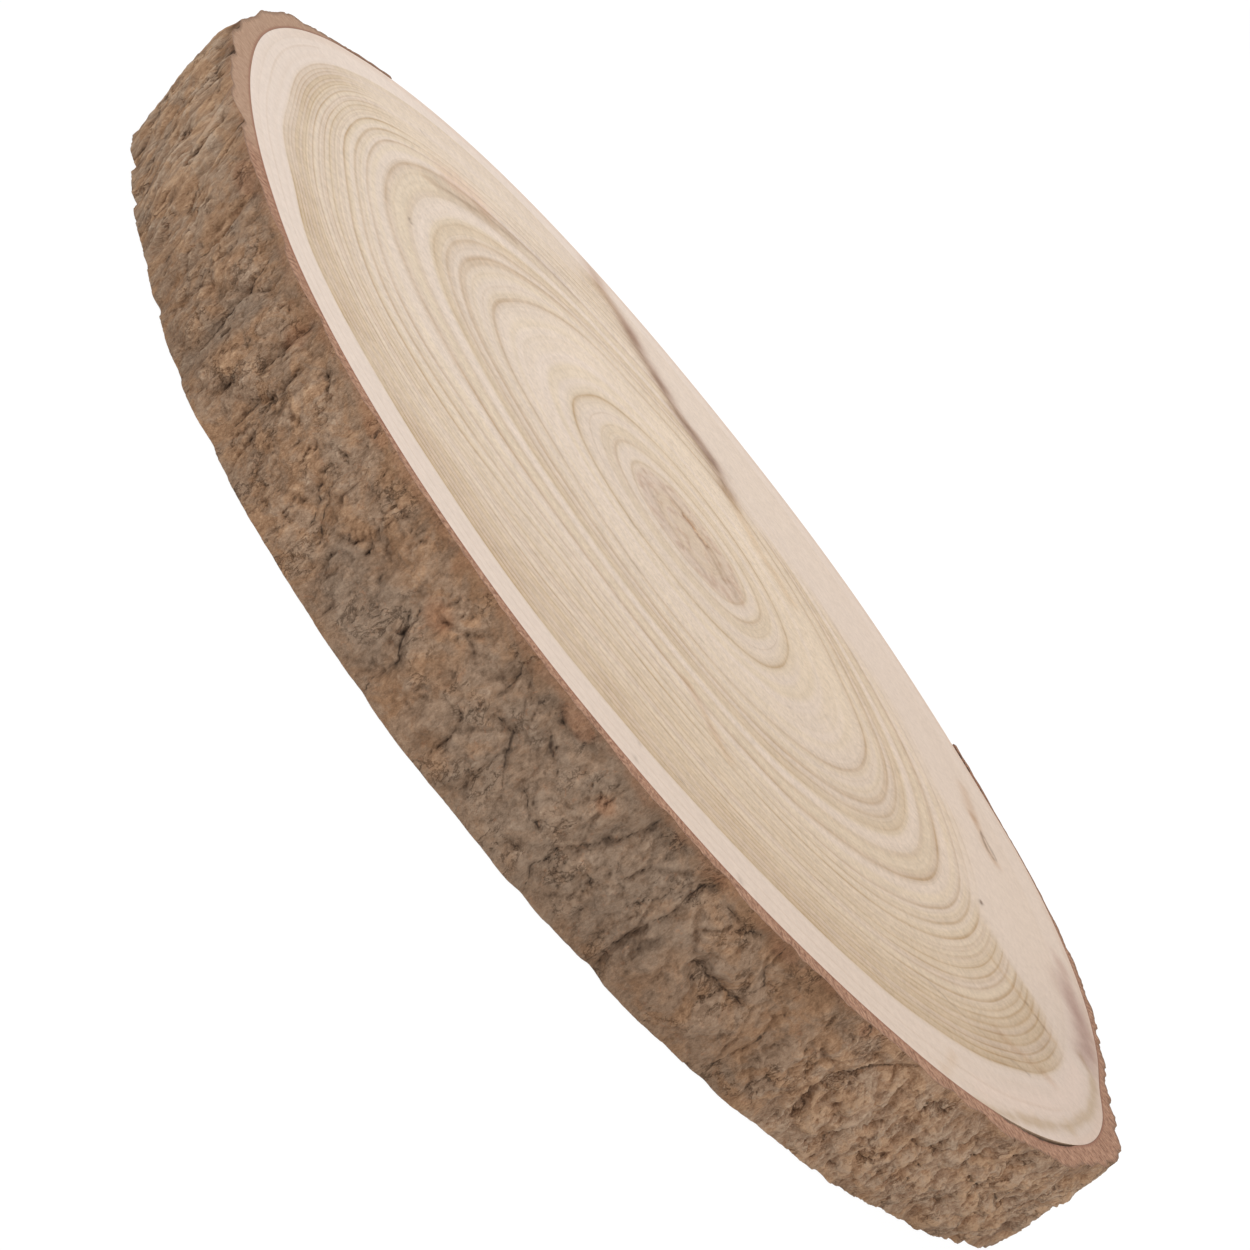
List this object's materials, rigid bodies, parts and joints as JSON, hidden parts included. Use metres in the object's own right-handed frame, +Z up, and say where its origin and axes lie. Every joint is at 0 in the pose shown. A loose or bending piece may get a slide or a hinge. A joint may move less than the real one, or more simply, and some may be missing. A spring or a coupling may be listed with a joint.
{
  "type": "wood slice",
  "caption": "Round slice sawn across a log, flat on both faces, with a furrowed bark rim open along one stretch.",
  "frame": {"origin": "middle of the lower sawn face's box, on the surface that the slice lies on", "axes": "+Z up along the log's axis, +X along the slice's longest way across, to the lower right of the picture, +Y to the far side, where the rim is bare"},
  "size_m": [0.2978, 0.2945, 0.032],
  "materials": {
    "wood": "sanded bare wood",
    "bark": "rough bark"
  },
  "bodies": {
    "root": {"wood": "wood", "bark": "bark"}
  },
  "joints": []
}
